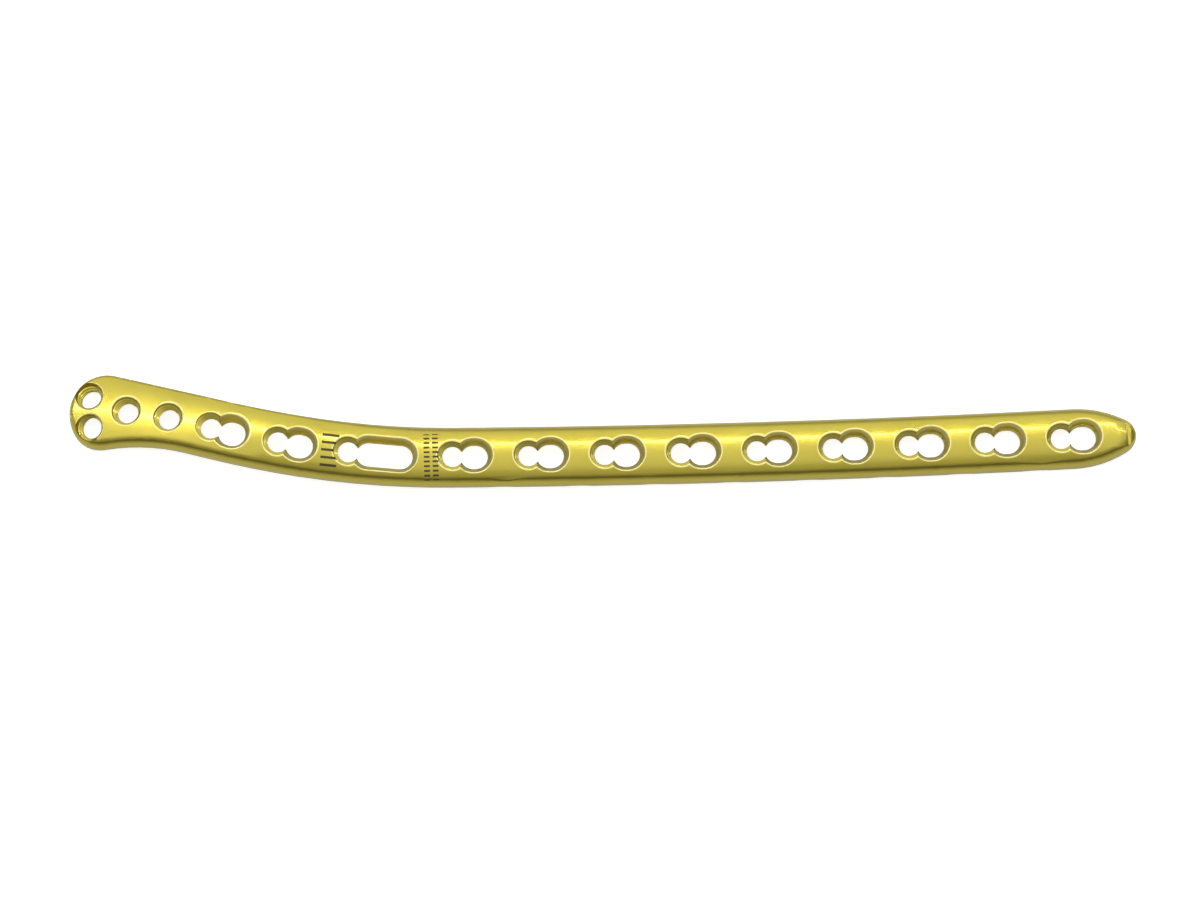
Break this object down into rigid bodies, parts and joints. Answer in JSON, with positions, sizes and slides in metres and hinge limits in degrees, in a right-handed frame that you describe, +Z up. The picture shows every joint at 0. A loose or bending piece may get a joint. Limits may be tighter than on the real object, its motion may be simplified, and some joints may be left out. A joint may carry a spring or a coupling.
{
  "type": "orthopedic bone plate",
  "caption": "Left-side locking bone plate for the back of the lower humerus: flared drooping head, conical screw holes, combination holes along a gently bent shaft, bullet tip.",
  "frame": {"origin": "on the surface the plate lies on, under the middle of its bounding box", "axes": "+X along the shaft towards the bullet tip, -X the flared head, +Y the inner side of the head's bend, +Z up, out of the face that looks away from the bone"},
  "size_m": [0.2108, 0.0236, 0.0077],
  "materials": {
    "gold_titanium": "satin, gold anodised titanium alloy"
  },
  "bodies": {
    "root": {"bone_plate": "gold_titanium"}
  },
  "joints": []
}
